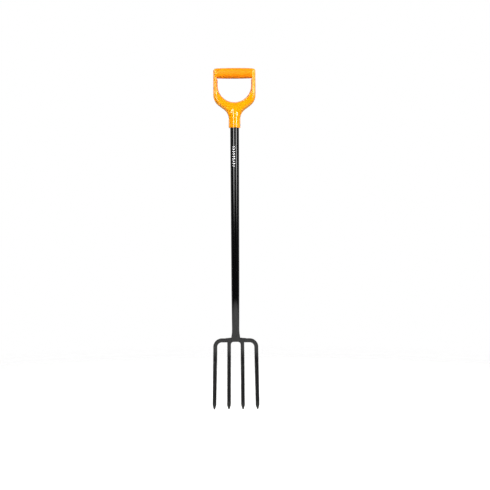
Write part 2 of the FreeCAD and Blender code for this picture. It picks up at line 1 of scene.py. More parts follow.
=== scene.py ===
import math
import bpy
import numpy as np
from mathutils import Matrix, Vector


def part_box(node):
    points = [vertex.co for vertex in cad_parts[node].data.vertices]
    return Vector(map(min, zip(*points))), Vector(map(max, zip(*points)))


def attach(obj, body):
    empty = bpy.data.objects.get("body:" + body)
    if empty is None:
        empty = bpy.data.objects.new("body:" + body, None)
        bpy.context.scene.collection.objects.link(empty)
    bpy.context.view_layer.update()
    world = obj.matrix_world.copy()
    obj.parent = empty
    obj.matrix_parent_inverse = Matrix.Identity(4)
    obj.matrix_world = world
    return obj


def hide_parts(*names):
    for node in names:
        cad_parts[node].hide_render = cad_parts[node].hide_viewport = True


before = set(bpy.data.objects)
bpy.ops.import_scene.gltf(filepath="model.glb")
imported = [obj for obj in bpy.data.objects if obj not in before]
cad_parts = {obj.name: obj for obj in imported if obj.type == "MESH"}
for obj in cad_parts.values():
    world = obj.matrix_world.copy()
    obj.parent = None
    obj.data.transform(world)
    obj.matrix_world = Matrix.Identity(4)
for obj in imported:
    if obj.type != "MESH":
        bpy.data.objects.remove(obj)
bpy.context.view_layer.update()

mm = 0.001
random = np.random.default_rng(11)
print("frame loaded:", len(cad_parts), "nodes")

# Shapes are worked out in millimetres, about the shaft's own axis, with Z up from the tips of the tines.
def boxOf(node):
    return [np.array(corner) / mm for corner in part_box(node)]


handleLow, handleHigh = boxOf("handle_frame")
sleeveLow, sleeveHigh = boxOf("grip_sleeve")
outerLow, outerHigh = boxOf("outer_tine_right")
middleHigh = boxOf("centre_tines")[1]
tubeTopZ = boxOf("shaft_tube")[1][2]
printLowZ = boxOf("shaft_print")[0][2]
shaftY = (handleLow[1] + handleHigh[1]) / 2
coreRadius = (handleHigh[1] - handleLow[1]) / 2


# ---- small tools for surfaces


def smoothStep(low, high, value):
    # 0 below low, 1 above high, and an even S between them
    t = np.clip((value - low) / (high - low), 0, 1)
    return t * t * (3 - 2 * t)


def softMax(a, b, width):
    # the larger of the two, rounded where they are closer than width
    near = np.maximum(width - np.abs(a - b), 0) / width
    return np.maximum(a, b) + near * near * width / 4


def softMin(a, b, width):
    return -softMax(-a, -b, width)


def easedTable(places, values, at):
    # straight lines between the table's values, with their corners eased by a moving mean
    dense = np.linspace(min(places), max(places), 600)
    order = np.argsort(places)
    line = np.interp(dense, np.array(places)[order], np.array(values, float)[order])
    kernel = np.hanning(13)
    kernel /= kernel.sum()
    eased = np.convolve(np.pad(line, 6, mode="edge"), kernel, mode="valid")
    return np.interp(at, dense, eased)


def loopFaces(rows, columns, closed=False):
    # quads between neighbouring rings of points, each ring closed on itself
    i = np.arange(rows if closed else rows - 1)[:, None]
    j = np.arange(columns)[None, :]
    nextRow, nextColumn = (i + 1) % rows, (j + 1) % columns
    corners = [(i, j), (i, nextColumn), (nextRow, nextColumn), (nextRow, j)]
    corners = [row * columns + column for row, column in corners]
    return np.stack(np.broadcast_arrays(*corners), axis=-1).reshape(-1, 4)


def fanFaces(firstOfRing, columns, pole):
    # triangles from a ring to one point
    j = np.arange(columns)
    return np.stack([firstOfRing + j, firstOfRing + (j + 1) % columns, np.full(columns, pole)], axis=1)


def enclosed(points, triangles):
    # the volume inside, which is negative where the faces point inwards
    a, b, c = (points[triangles[:, k]] for k in range(3))
    return (a * np.cross(b, c)).sum() / 6


noTriangles = np.zeros((0, 3), int)


def makePiece(name, points, quads, triangles, material, nodes):
    # a mesh piece from points about the shaft's axis; its faces are turned outwards by the sign of its volume
    halves = [quads[:, [0, 1, 2]], quads[:, [0, 2, 3]], triangles]
    if enclosed(points, np.concatenate(halves)) < 0:
        quads, triangles = quads[:, ::-1], triangles[:, ::-1]
    placed = (points + [0, shaftY, 0]) * mm
    loops = np.concatenate([quads.ravel(), triangles.ravel()]).astype(np.int32)
    sizes = np.concatenate([np.full(len(quads), 4), np.full(len(triangles), 3)])
    starts = np.concatenate([[0], np.cumsum(sizes)[:-1]]).astype(np.int32)
    mesh = bpy.data.meshes.new(name)
    mesh.vertices.add(len(placed))
    mesh.vertices.foreach_set("co", placed.astype(np.float32).ravel())
    mesh.loops.add(len(loops))
    mesh.loops.foreach_set("vertex_index", loops)
    mesh.polygons.add(len(sizes))
    mesh.polygons.foreach_set("loop_start", starts)
    mesh.update(calc_edges=True)
    mesh.validate()
    mesh.shade_smooth()
    piece = bpy.data.objects.new(name, mesh)
    bpy.context.scene.collection.objects.link(piece)
    piece.data.materials.append(material)
    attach(piece, "root")
    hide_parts(*nodes)
    print(name, "made:", len(placed), "points")
    return piece


def makeTubes(name, tubes, material, nodes, closed=False):
    # Each tube is a grid of rings, shape (rings, points, 3). An open one gets a closing point at each end.
    points, quads, triangles, start = [], [], [], 0
    for rings in tubes:
        rows, columns = rings.shape[:2]
        points.append(rings.reshape(-1, 3))
        quads.append(loopFaces(rows, columns, closed) + start)
        count = rows * columns
        if not closed:
            points.append(np.array([rings[0].mean(0), rings[-1].mean(0)]))
            triangles.append(fanFaces(start, columns, start + count)[:, ::-1])
            triangles.append(fanFaces(start + count - columns, columns, start + count + 1))
            count += 2
        start += count
    triangles = np.concatenate(triangles) if triangles else noTriangles
    return makePiece(name, np.concatenate(points), np.concatenate(quads), triangles, material, nodes)


def netSurface(field, low, high, steps):
    # The skin of a shape given by a field that is negative inside. Each cell of a grid that the skin
    # crosses gets one point, the mean of the crossings on its edges, and each crossed edge one quad.
    # The points are then slid along the field's slope until they lie on the skin.
    axes = [np.arange(low[k], high[k] + steps[k], steps[k]) for k in range(3)]
    value = field(*np.meshgrid(*axes, indexing="ij"))
    cells = [n - 1 for n in value.shape]
    total, count = np.zeros((*cells, 3), np.float32), np.zeros(cells, np.float32)
    crossings = []
    for axis in range(3):
        others = [k for k in range(3) if k != axis]
        begin, end = [slice(None)] * 3, [slice(None)] * 3
        begin[axis], end[axis] = slice(0, -1), slice(1, None)
        first, second = value[tuple(begin)], value[tuple(end)]
        crossed = (first < 0) != (second < 0)
        share = np.where(crossed, first / np.where(crossed, first - second, 1), 0)
        spots = np.indices(first.shape)
        crossings.append((axis, others, crossed, first < 0))
        for du in (0, 1):
            for dv in (0, 1):
                window = [slice(None)] * 3
                window[others[0]] = slice(du, cells[others[0]] + du)
                window[others[1]] = slice(dv, cells[others[1]] + dv)
                window = tuple(window)
                hit = crossed[window]
                count += hit
                for k in range(3):
                    place = spots[k][window] + (share[window] if k == axis else 0)
                    total[..., k] += np.where(hit, place, 0)
    used = count > 0
    number = np.cumsum(used.ravel()).reshape(used.shape) - 1
    points = total[used] / count[used][:, None] * np.array(steps) + np.array(low)
    quads = []
    for axis, others, crossed, startsInside in crossings:
        inner = [slice(None)] * 3
        inner[others[0]] = slice(1, cells[others[0]])
        inner[others[1]] = slice(1, cells[others[1]])
        spots = np.argwhere(crossed[tuple(inner)])
        spots[:, others[0]] += 1
        spots[:, others[1]] += 1
        ring = []
        for du, dv in ((1, 1), (0, 1), (0, 0), (1, 0)):
            cell = spots.copy()
            cell[:, others[0]] -= du
            cell[:, others[1]] -= dv
            ring.append(number[tuple(cell.T)])
        face = np.stack(ring, axis=1)
        flipped = startsInside[tuple(spots.T)] ^ (axis == 1)
        face[flipped] = face[flipped][:, ::-1]
        quads.append(face)
    reach = 0.02
    for _ in range(4):
        here = field(*points.T)
        ahead = [field(*(points + reach * e).T) for e in np.eye(3)]
        behind = [field(*(points - reach * e).T) for e in np.eye(3)]
        slope = (np.stack(ahead, axis=1) - np.stack(behind, axis=1)) / (2 * reach)
        slide = here[:, None] * slope / np.maximum((slope * slope).sum(1), 1e-4)[:, None]
        longest = np.linalg.norm(slide, axis=1)[:, None]
        points -= slide * np.minimum(1, 0.3 / np.maximum(longest, 1e-9))
    return points, np.concatenate(quads)


# ---- shader tools


class Wire:
    # One output socket. A sum or product of wires adds its Math node.
    def __init__(self, look, socket):
        self.look, self.socket = look, socket

    def __add__(self, other):
        return self.look.maths("ADD", self, other)

    def __radd__(self, other):
        return self.look.maths("ADD", other, self)

    def __sub__(self, other):
        return self.look.maths("SUBTRACT", self, other)

    def __rsub__(self, other):
        return self.look.maths("SUBTRACT", other, self)

    def __mul__(self, other):
        return self.look.maths("MULTIPLY", self, other)

    def __rmul__(self, other):
        return self.look.maths("MULTIPLY", other, self)

    def __truediv__(self, other):
        return self.look.maths("DIVIDE", self, other)


class NodeTree:
    # a node tree that makes all its nodes by one method
    def __init__(self, tree):
        self.tree = tree

    def node(self, kind, settings=None, sockets=None, out=0):
        # any node: its settings first, then the values or wires of its sockets
        made = self.tree.nodes.new(kind)
        for name, value in (settings or {}).items():
            setattr(made, name, value)
        for name, value in (sockets or {}).items():
            if isinstance(value, Wire):
                self.tree.links.new(value.socket, made.inputs[name])
            else:
                made.inputs[name].default_value = value
        return Wire(self, made.outputs[out])

    def maths(self, operation, *values):
        return self.node("ShaderNodeMath", {"operation": operation}, dict(enumerate(values)))

    def between(self, value, low, high, lowest=0.0, highest=1.0):
        # lowest at low and highest at high, eased
        sockets = {"Value": value, "From Min": low, "From Max": high, "To Min": lowest, "To Max": highest}
        return self.node("ShaderNodeMapRange", {"interpolation_type": "SMOOTHSTEP"}, sockets)

    def finish(self, wire, output):
        self.tree.links.new(wire.socket, self.tree.nodes[output].inputs["Surface"])


class Look(NodeTree):
    # a material's node tree, with the shader that it ends in
    def __init__(self, name, **shader):
        self.material = bpy.data.materials.new(name)
        self.material.use_nodes = True
        super().__init__(self.material.node_tree)
        self.shader = self.tree.nodes["Principled BSDF"]
        self.place = self.node("ShaderNodeTexCoord", out="Object")
        for socket, value in shader.items():
            self.shader.inputs[socket.replace("_", " ")].default_value = value

    def blend(self, share, first, second):
        return self.node("ShaderNodeMix", {"data_type": "RGBA"}, {0: share, 6: first, 7: second}, out=2)

    def noise(self, size, detail=2.0, roughness=0.5, stretch=(1, 1, 1), **settings):
        # a noise whose lumps are about size metres across, drawn out by the stretch
        scale = tuple(1 / (size * s) for s in stretch)
        spot = self.node("ShaderNodeVectorMath", {"operation": "MULTIPLY"}, {0: self.place, 1: scale})
        sockets = {"Vector": spot, "Scale": 1.0, "Detail": detail, "Roughness": roughness}
        return self.node("ShaderNodeTexNoise", settings, sockets)

    def axis(self, name):
        return self.node("ShaderNodeSeparateXYZ", None, {0: self.place}, out=name)

    def bump(self, height, depth, under=None):
        # depth in metres; a bump may lie on another
        sockets = {"Height": height, "Distance": depth, "Strength": 1.0}
        if under is not None:
            sockets["Normal"] = under
        return self.node("ShaderNodeBump", None, sockets)

    def set(self, **wires):
        for socket, wire in wires.items():
            self.tree.links.new(wire.socket, self.shader.inputs[socket.replace("_", " ")])
        return self.material


# ---- finishes

handle = {
    "halfDepth": 14.5,
    "armWidth": 15.8,
    "armWidthAtGrip": 12.7,
    "topCorner": 10,
    "lowerRadius": 49,
    "straightZ": handleHigh[2] - 92.4,
    "openingRadius": 58.6,
    "openingZ": handleHigh[2] - 59.8,
    "gripLowZ": sleeveLow[2],
    "shoulderAngle": 53.5,
    "shoulderToNeck": 40,
    "neckBlendZ": handleLow[2] + 32,
    "neckEndZ": handleLow[2] + 92,
    "neckHalfWidth": 20.5,
    "wingHalfDepth": 11.5,
    "coreRoundTopZ": handleLow[2] + 45,
    "coreTopZ": handleLow[2] + 78,
    "coreBlend": 2.5,
    "armRound": 12.8,
    "webRound": 12.5,
    "wallDraft": 0.26,
    "edgeRound": 3.0,
    "mouthRound": 2.2,
    "seatRadius": 4.5,
    "seatDepth": 1.3,
    "screwZ": handleLow[2] + 19,
    "gripSwell": 1.4,  # how much deeper the arms are beside the grip
    "coreNarrowing": 7,
    "coreEndRound": 4,
    "fieldScale": 9,  # millimetres per unit of the front face's rounding
    "step": 0.85,
}

plastic = {
    "colour": (0.93, 0.345, 0.001, 1),
    "deepColour": (0.91, 0.31, 0.001, 1),
    # painted shade: a deeper orange for the hand opening's inner wall, standing in for the shade it gets from
    # being lit less
    "paintedWallShade": (0.9, 0.25, 0.001, 1),
    "roughness": 0.16,
    "grain": 0.0006,
    "seamHalfWidth": 0.0002,
    "seamColour": (0.6, 0.17, 0.002, 1),
    "seamShare": 0.25,
    "paintedShadeReach": (0.0035, 0.0075),  # metres from the opening's edge, where the painted shade on the opening's wall fades and ends
}


def mouldedPlastic():
    look = Look("goldenPlastic", IOR=1.47)
    grain = look.noise(plastic["grain"], 3)
    flow = look.noise(0.045, 3)
    scuffs = look.noise(0.0016, 2, stretch=(1, 1, 14))
    offSeam = look.maths("ABSOLUTE", look.axis("Y") - shaftY * mm)
    seam = 1 - look.between(offSeam, plastic["seamHalfWidth"], 3 * plastic["seamHalfWidth"])
    colour = look.blend(look.between(flow, 0.35, 0.7), plastic["colour"], plastic["deepColour"])
    colour = look.blend(seam * plastic["seamShare"], colour, plastic["seamColour"])
    # Painted shade: within a few millimetres of the hand opening's edge, across its inner wall, the colour
    # turns a deeper orange that stands in for the shade there; it stops at the grip.
    x, z = look.axis("X"), look.axis("Z")
    below = look.maths("MINIMUM", z - handle["openingZ"] * mm, 0)
    fromCentre = look.maths("SQRT", x * x + below * below)
    rim = fromCentre - handle["openingRadius"] * mm
    paintedShadeShare = 1 - look.between(rim, *plastic["paintedShadeReach"])
    paintedShadeShare = paintedShadeShare * (1 - look.between(z, handle["gripLowZ"] * mm, handle["gripLowZ"] * mm + 0.004))
    colour = look.blend(paintedShadeShare, colour, plastic["paintedWallShade"])
    rough = plastic["roughness"] + (grain - 0.5) * 0.06 + look.between(scuffs, 0.62, 0.8) * 0.06
    skin = look.bump(grain, 0.0000008)
    skin = look.bump(1 - seam, 0.00015, skin)
    return look.set(Base_Color=colour, Roughness=rough, Normal=skin)


soft = {
    "colour": (0.93, 0.27, 0.0005, 1),
    "deepColour": (0.9, 0.235, 0.0004, 1),
    "roughness": 0.38,
}


def softOvermould():
    look = Look("softGripOrange", IOR=1.27)
    pores = look.noise(0.0009, 2)
    handling = look.noise(0.03, 4)
    colour = look.blend(look.between(handling, 0.35, 0.7), soft["colour"], soft["deepColour"])
    rough = soft["roughness"] + (pores - 0.5) * 0.15 + (handling - 0.5) * 0.1
    skin = look.bump(pores, 0.000015)
    return look.set(Base_Color=colour, Roughness=rough, Normal=skin)


enamel = {
    "colour": (0.0022, 0.0023, 0.0025, 1),
    "dustColour": (0.006, 0.006, 0.0065, 1),
    "shaftRoughness": 0.1,
    "headRoughness": 0.3,
    "weldRoughness": 0.36,
    "rubbedFrom": (0.012, 0.03),  # heights in metres, between which the rubbed points end
    "rubbedRoughness": 0.35,
}


def tubeEnamel():
    look = Look("shaftEnamel", IOR=1.46)
    peel = look.noise(0.0035, 2)
    drawn = look.noise(0.0012, 2, stretch=(1, 1, 60))
    dust = look.noise(0.0012, 1)
    haze = look.noise(0.05, 3, stretch=(1, 1, 3))
    colour = look.blend(look.between(dust, 0.64, 0.78), enamel["colour"], enamel["dustColour"])
    rough = enamel["shaftRoughness"] + (haze - 0.5) * 0.06 + look.between(dust, 0.6, 0.8) * 0.05
    skin = look.bump(drawn, 0.0000008)
    skin = look.bump(peel, 0.0000015, skin)
    return look.set(Base_Color=colour, Roughness=rough, Normal=skin)


def forgedEnamel(name, roughness, lumps):
    look = Look(name, IOR=1.46)
    hammer = look.noise(0.011, 2)
    scale = look.noise(0.0018, 4, 0.6)
    dust = look.noise(0.0009, 1)
    colour = look.blend(look.between(scale, 0.5, 0.75), enamel["colour"], enamel["dustColour"])
    rubbed = 1 - look.between(look.axis("Z"), *enamel["rubbedFrom"])  # soil has dulled the points
    rough = roughness + (scale - 0.5) * 0.25 + look.between(dust, 0.6, 0.8) * 0.1
    rough = rough + rubbed * enamel["rubbedRoughness"]
    skin = look.bump(hammer, lumps * 3)
    skin = look.bump(scale, lumps * 0.4, skin)
    return look.set(Base_Color=colour, Roughness=rough, Normal=skin)


ink = {
    "colour": (0.93, 0.93, 0.94, 1),
    "thinColour": (0.7, 0.7, 0.71, 1),
    "roughness": 0.4,
}


def whiteInk():
    look = Look("whiteInk", Roughness=ink["roughness"])
    thin = look.noise(0.0007, 3)
    colour = look.blend(look.between(thin, 0.55, 0.8), ink["colour"], ink["thinColour"])
    return look.set(Base_Color=colour, Normal=look.bump(thin, 0.00002))


zinc = {
    "colour": (0.6, 0.6, 0.6, 1),
    "stainColour": (0.42, 0.41, 0.4, 1),
    "roughness": 0.28,
}


def zincSteel():
    look = Look("zincSteel", Metallic=1.0)
    brushed = look.noise(0.0004, 2, stretch=(14, 1, 1))
    stain = look.noise(0.003, 3)
    colour = look.blend(look.between(stain, 0.4, 0.7), zinc["colour"], zinc["stainColour"])
    rough = zinc["roughness"] + (brushed - 0.5) * 0.2 + (stain - 0.5) * 0.15
    return look.set(Base_Color=colour, Roughness=rough, Normal=look.bump(brushed, 0.00002))


goldenPlastic = mouldedPlastic()
softOrange = softOvermould()
blackTube = tubeEnamel()
blackHead = forgedEnamel("headEnamel", enamel["headRoughness"], 0.00006)
blackWeld = forgedEnamel("weldEnamel", enamel["weldRoughness"], 0.00012)
print("finishes mixed")

# ---- D-handle

def outlineDepth(x, z):
    # How far a point of the front view lies inside the handle's outline: neck side, arc into the
    # shoulder, straight shoulder, arc into the arm, arm side. Each stretch holds between its tangent points.
    h = handle
    across = np.abs(x)
    span, neck, big, fillet = handleHigh[0], h["neckHalfWidth"], h["lowerRadius"], h["shoulderToNeck"]
    lean = math.radians(h["shoulderAngle"])
    outward, along = (math.cos(lean), -math.sin(lean)), (math.sin(lean), math.cos(lean))
    vx, vz = across - (span - big), z - h["straightZ"]
    wx, wz = across - (neck + fillet), z - h["neckBlendZ"]
    shoulder = big - (outward[0] * vx + outward[1] * vz)
    depth = np.where(vz < 0, big - np.hypot(vx, vz), span - across)
    depth = np.where(along[0] * vx + along[1] * vz < 0, shoulder, depth)
    depth = np.where(along[0] * wx + along[1] * wz < 0, np.hypot(wx, wz) - fillet, depth)
    depth = np.where(wz < 0, neck - across, depth)
    corner = h["topCorner"]
    fromTop = handleHigh[2] - z
    rounded = corner - np.hypot(np.maximum(corner - depth, 0), np.maximum(corner - fromTop, 0))
    return np.where((depth < corner) & (fromTop < corner), rounded, np.minimum(depth, fromTop))


def openingDepth(x, z):
    # how far a point lies outside the hand opening, which is a half circle with straight sides above it
    h = handle
    across = np.abs(x)
    side = h["openingRadius"] + (h["armWidth"] - h["armWidthAtGrip"]) * smoothStep(-6, 2, z - h["gripLowZ"])
    fromArc = np.hypot(across, z - h["openingZ"]) - h["openingRadius"]
    return np.where(z < h["openingZ"], fromArc, across - side)


def handleField(x, y, z):
    # The frame's front face falls to its outline as |y| = depth * (1 - edge^2)^(1/2), where edge is 1 on
    # the outline and 0 at the rounding's reach. The opening's wall slopes a little, as it left its mould.
    # The round core stands proud of the neck, and narrows until it is lost in the web.
    h = handle
    toNeck = 1 - smoothStep(h["neckBlendZ"] - 2, h["neckEndZ"] - 22, z)
    toArm = smoothStep(h["neckEndZ"] - 5, h["straightZ"] + 12, z)
    atGrip = smoothStep(-10, 4, z - h["gripLowZ"])
    depth = h["halfDepth"] + (h["wingHalfDepth"] - h["halfDepth"]) * toNeck + h["gripSwell"] * atGrip
    rounding = h["webRound"] + (h["armRound"] - h["webRound"]) * toArm
    outer = np.maximum(1 - outlineDepth(x, z) / rounding, 0)
    shell = (np.sqrt(outer**2 + (y / depth) ** 2) - 1) * h["fieldScale"]
    wall = h["wallDraft"] * (1 - atGrip) * np.abs(y) - openingDepth(x, z)
    shell = softMax(shell, wall, h["edgeRound"])
    narrowing = np.clip((z - h["coreRoundTopZ"]) / (h["coreTopZ"] - h["coreRoundTopZ"]), 0, 1)
    core = np.hypot(x, y) - coreRadius + h["coreNarrowing"] * narrowing**2
    core = softMax(core, z - h["coreTopZ"], h["coreEndRound"])
    shell = softMin(shell, core, h["coreBlend"])
    shell = softMax(shell, handleLow[2] - z, h["mouthRound"])
    seat = softMax(np.hypot(x, z - h["screwZ"]) - h["seatRadius"], coreRadius - h["seatDepth"] - y, 0.5)
    return softMax(shell, -seat, 0.7)


margin = 2
handlePoints, handleQuads = netSurface(
    handleField,
    (handleLow[0] - margin, -coreRadius - margin, handleLow[2] - margin),
    (handleHigh[0] + margin, coreRadius + margin, handleHigh[2] + margin),
    (handle["step"],) * 3,
)
makePiece(
    "handleFrame", handlePoints, handleQuads, noTriangles, goldenPlastic, ["handle_frame"]
)

# ---- grip sleeve

sleeve = {
    "endRadius": 17.7,
    "endRound": 1.3,
    "flatten": 0.92,
    "pointsRound": 96,
}


def makeSleeve():
    # a barrel about the x axis: its radius falls with the square of x, and its ends are quarter rounds
    half, centreZ = sleeveHigh[0] + 0.2, (sleeveLow[2] + sleeveHigh[2]) / 2
    middle = (sleeveHigh[2] - sleeveLow[2]) / 2
    turn = np.linspace(0, math.pi / 2, 9)
    inset = sleeve["endRound"] * (1 - np.sin(turn))
    back = sleeve["endRound"] * (1 - np.cos(turn))
    body = np.linspace(-half + sleeve["endRound"], half - sleeve["endRound"], 81)[1:-1]
    x = np.concatenate([-half + back, body, half - back[::-1]])
    drop = np.concatenate([inset, np.zeros(len(body)), inset[::-1]])
    radius = middle - (middle - sleeve["endRadius"]) * (x / half) ** 2 - drop
    angle = np.linspace(0, 2 * math.pi, sleeve["pointsRound"], endpoint=False)
    rings = np.stack(
        np.broadcast_arrays(
            x[:, None],
            radius[:, None] * np.cos(angle) * sleeve["flatten"],
            centreZ + radius[:, None] * np.sin(angle),
        ),
        axis=-1,
    )
    makeTubes("gripSleeve", [rings], softOrange, ["grip_sleeve"])


makeSleeve()

# ---- shaft

coating = 0.9  # how far the visible skin stands outside the CAD steel, seen from the front

shaft = {
    "bendCornerZ": 382,
    "bendRadius": 420,
    "lean": 10,
    "wall": 1.6,
    "sectionZ": (1034, 418, 345, 318, 292, 277, 264, 255, 247, 236),
    "halfWidth": (14.75, 13.15, 12.55, 12.45, 12.15, 12.05, 12.9, 14.4, 15.15, 15.3),
    "halfDepth": (14.75, 13.15, 13.75, 13.9, 13.8, 12.8, 10.7, 8.9, 8.2, 8.1),
    "squareness": (2, 2, 2, 2, 2.05, 2.2, 2.6, 3.0, 3.2, 3.2),
    "bendTopZ": 430,  # the rings stand closer below this height, and closer still below the next
    "footTopZ": 270,
    "pointsRound": 72,
}
barTop = middleHigh[2]
barLow = barTop - 12


def bentLine(z, cornerZ, radius, lowLean, highLean=0.0):
    # The y of a line that leans by one angle above a corner and by another below it, with an arc between.
    # Angles in degrees, leaning back as the line goes down.
    upper, lower = math.radians(highLean), math.radians(lowLean)
    reach = abs(radius * math.tan((lower - upper) / 2))
    high, low = cornerZ + reach * math.cos(upper), cornerZ - reach * math.cos(lower)
    t = np.clip((high - z) / (high - low), 0, 1)
    slope = math.tan(upper) * t + (math.tan(lower) - math.tan(upper)) * t * t / 2
    above = math.tan(upper) * np.minimum(high - z, 0)
    below = math.tan(lower) * np.maximum(low - z, 0)
    return above + slope * (high - low) + below


def shaftLine(z):
    return bentLine(z, shaft["bendCornerZ"], shaft["bendRadius"], shaft["lean"])


def ovalRing(z, grow, angle):
    # the shaft's outline at heights z: the superellipse |x/a|^n + |y/b|^n = 1, grown on all sides
    a = easedTable(shaft["sectionZ"], shaft["halfWidth"], z) + grow
    b = easedTable(shaft["sectionZ"], shaft["halfDepth"], z) + grow
    n = easedTable(shaft["sectionZ"], shaft["squareness"], z)
    x = a * np.sign(np.cos(angle)) * np.abs(np.cos(angle)) ** (2 / n)
    y = b * np.sign(np.sin(angle)) * np.abs(np.sin(angle)) ** (2 / n)
    lean = math.tan(math.radians(shaft["lean"])) * smoothStep(420, 345, z)
    return np.stack([x, shaftLine(z) + y, z + y * lean * 0.98], axis=-1)


def footEdge(angle):
    # the foot's lower edge: on top of the crossbar at the sides, and down over it at front and back
    return barTop - 0.5 - (barTop - 0.5 - (barLow + 2)) * smoothStep(0.3, 0.62, np.abs(np.sin(angle)))


def makeShaft():
    angle = np.linspace(0, 2 * math.pi, shaft["pointsRound"], endpoint=False)[None, :]
    bendTop, footTop = shaft["bendTopZ"], shaft["footTopZ"]
    straight = np.linspace(tubeTopZ, bendTop, 60)
    bent = np.linspace(bendTop, footTop, 70)[1:]
    foot = footTop + (footEdge(angle) - footTop) * (np.linspace(0, 1, 26)[1:, None])
    above = np.concatenate([straight, bent])[:, None]
    heights = np.concatenate([np.broadcast_to(above, (above.size, angle.size)), foot])
    outside = ovalRing(heights, coating, np.broadcast_to(angle, heights.shape))
    edge = heights[-1:]
    rim = [
        ovalRing(edge - 0.5 * math.sin(t), coating + 0.8 * (math.cos(t) - 1), angle) for t in (0.7, 1.4, 2.2)
    ]
    inner = ovalRing(edge + 0.3, -shaft["wall"] - 0.3, angle)
    closing = ovalRing(np.full_like(edge, barTop - 3), -6.0, angle)
    rings = np.concatenate([outside, *rim, inner, closing])
    makeTubes("shaftTube", [rings], blackTube, ["shaft_tube"])


makeShaft()

printing = {
    "marks": 9,
    "lowZ": printLowZ + 1.6,
    "pitch": 8.4,
    "centreX": -3.3,
    "halfWidth": 4.1,
    "rise": 2.2,
    "stroke": 1.5,
    "thickness": 0.12,
}


def makePrint():
    # Chevrons on the front of the shaft: each is a flat stroke carried along a V that lies on the round tube.
    p = printing
    share = np.linspace(-1, 1, 25)[:, None]
    turn = np.linspace(0, 2 * math.pi, 16, endpoint=False)[None, :]
    tubes = []
    for mark in range(p["marks"]):
        z = p["lowZ"] + mark * p["pitch"] + p["rise"] * np.abs(share)
        z = z + p["stroke"] * np.sign(np.sin(turn)) * np.abs(np.sin(turn)) ** 0.4
        radius = easedTable(shaft["sectionZ"], shaft["halfWidth"], z) + coating
        radius = radius + p["thickness"] * np.sign(np.cos(turn)) * np.abs(np.cos(turn)) ** 0.4
        across = (p["centreX"] + share * p["halfWidth"]) / radius
        tubes.append(np.stack([radius * np.sin(across), -radius * np.cos(across), z], axis=-1))
    makeTubes("shaftPrint", tubes, whiteInk(), ["shaft_print"])


makePrint()

# ---- head of the fork

head = {
    "curlCornerZ": 190,
    "curlRadius": 150,
    "curl": 10,
    "halfDepth": 6.25,
    "tipHalfDepth": 4.8,
    "topHalfWidth": 5.5,
    "tipHalfWidth": 5.8,
    "pointLength": 15,
    "pointHalfSize": 1.2,
    "edgeRound": 2.4,
    "innerTopX": 23.5,
    "innerTipX": 24.8,
    "innerCrotch": 11,
    "outerCrotch": 3.5,
    "outerCornerX": 48.8,
    "outerCornerZ": 216.6,
    "outerRadius": 30,
    "innerRadius": 17.6,
    "outerTipX": 76,
    "unevenness": 0.16,
    "steps": (0.65, 0.65, 0.9),
}


def headLine(z):
    # the head's y: it goes on leaning back under the shaft, then curls forward to the tips
    lean = math.radians(shaft["lean"])
    upper = (shaft["bendCornerZ"] - z) * math.tan(lean)
    below = bentLine(z, head["curlCornerZ"], head["curlRadius"], -head["curl"], shaft["lean"])
    start = (shaft["bendCornerZ"] - head["curlCornerZ"]) * math.tan(lean)
    reach = head["curlRadius"] * math.tan(math.radians((shaft["lean"] + head["curl"]) / 2))
    begin = reach * math.cos(lean)
    return np.where(z > head["curlCornerZ"] + begin, upper, start - begin * math.tan(lean) + below)


def tineSize(z, top, low):
    # a half size that narrows evenly down the tine, then quickly to its point
    length = head["pointLength"]
    along = top + (low - top) * (barLow - z) / (barLow - length)
    point = head["pointHalfSize"] + (low - head["pointHalfSize"]) * z / length
    return softMin(along, point, 1.2)


def barField(inFront, y, z, wave):
    # A bar: its front view gives how deep a point lies inside it, and its two edges along y are rounded.
    whole = np.full_like(z, head["halfDepth"])
    depth = softMin(tineSize(z, head["halfDepth"], head["tipHalfDepth"]), whole, 0.5)
    rounding = np.minimum(head["edgeRound"], depth * 0.7)
    a = np.maximum(rounding - inFront, 0)
    b = np.maximum(np.abs(y) - (depth - rounding), 0)
    inside = np.minimum(np.maximum(rounding - inFront, np.abs(y) - (depth - rounding)), 0)
    return np.hypot(a, b) + inside - rounding + head["unevenness"] * wave


def waves(x, y, z, table):
    total = 0
    for kx, ky, kz, phase in table:
        total = total + np.sin(kx * x + ky * y + kz * z + phase)
    return total / len(table)


def waveTable(size, count):
    # directions and phases of a few plane waves, for a hand-forged unevenness
    turn = 2 * math.pi
    return [(*(random.normal(size=3) * turn / size), random.uniform(0, turn)) for _ in range(count)]


centreWaves, outerWaves = waveTable(26, 6), waveTable(26, 6)


def centreField(x, y, z):
    # the short crossbar and its two tines, run together with round crotches
    across = np.abs(x)
    bar = np.minimum(np.minimum(barTop - z, z - barLow), middleHigh[0] + 0.5 - across)
    axisX = head["innerTopX"] + (head["innerTipX"] - head["innerTopX"]) * (barLow - z) / barLow
    tine = tineSize(z, head["topHalfWidth"], head["tipHalfWidth"]) - np.abs(across - axisX)
    tine = np.minimum(np.minimum(tine, z - coating), barTop - 4 - z)
    inner = softMax(bar, tine, head["innerCrotch"])
    outer = softMax(bar, tine, head["outerCrotch"])
    return barField(np.where(across < axisX, inner, outer) + coating, y, z, waves(x, y, z, centreWaves))


def outerField(x, y, z):
    # half of the shoulder, a round corner and a tine
    cx, cz, big, small = (head[k] for k in ("outerCornerX", "outerCornerZ", "outerRadius", "innerRadius"))
    middle, half = (big + small) / 2, (big - small) / 2
    turned = half - np.abs(np.hypot(x - cx, z - cz) - middle)
    level = half - np.abs(z - cz - middle)
    tipX = head["outerTipX"]
    axisX = cx + middle + (tipX - cx - middle) * (cz - z) / cz
    width = tineSize(z, half, head["tipHalfWidth"])
    upright = np.minimum(width - np.abs(x - axisX), z - coating)
    inFront = np.where(z < cz, upright, np.where(x < cx, level, turned))
    inFront = np.minimum(inFront, x - (outerLow[0] - 0.5))
    return barField(inFront + coating, y, z, waves(x, y, z, outerWaves))


def bendHead(points):
    # stands the straight head on its line, by shearing it in y
    return points + np.stack([np.zeros(len(points)), headLine(points[:, 2]), np.zeros(len(points))], axis=1)


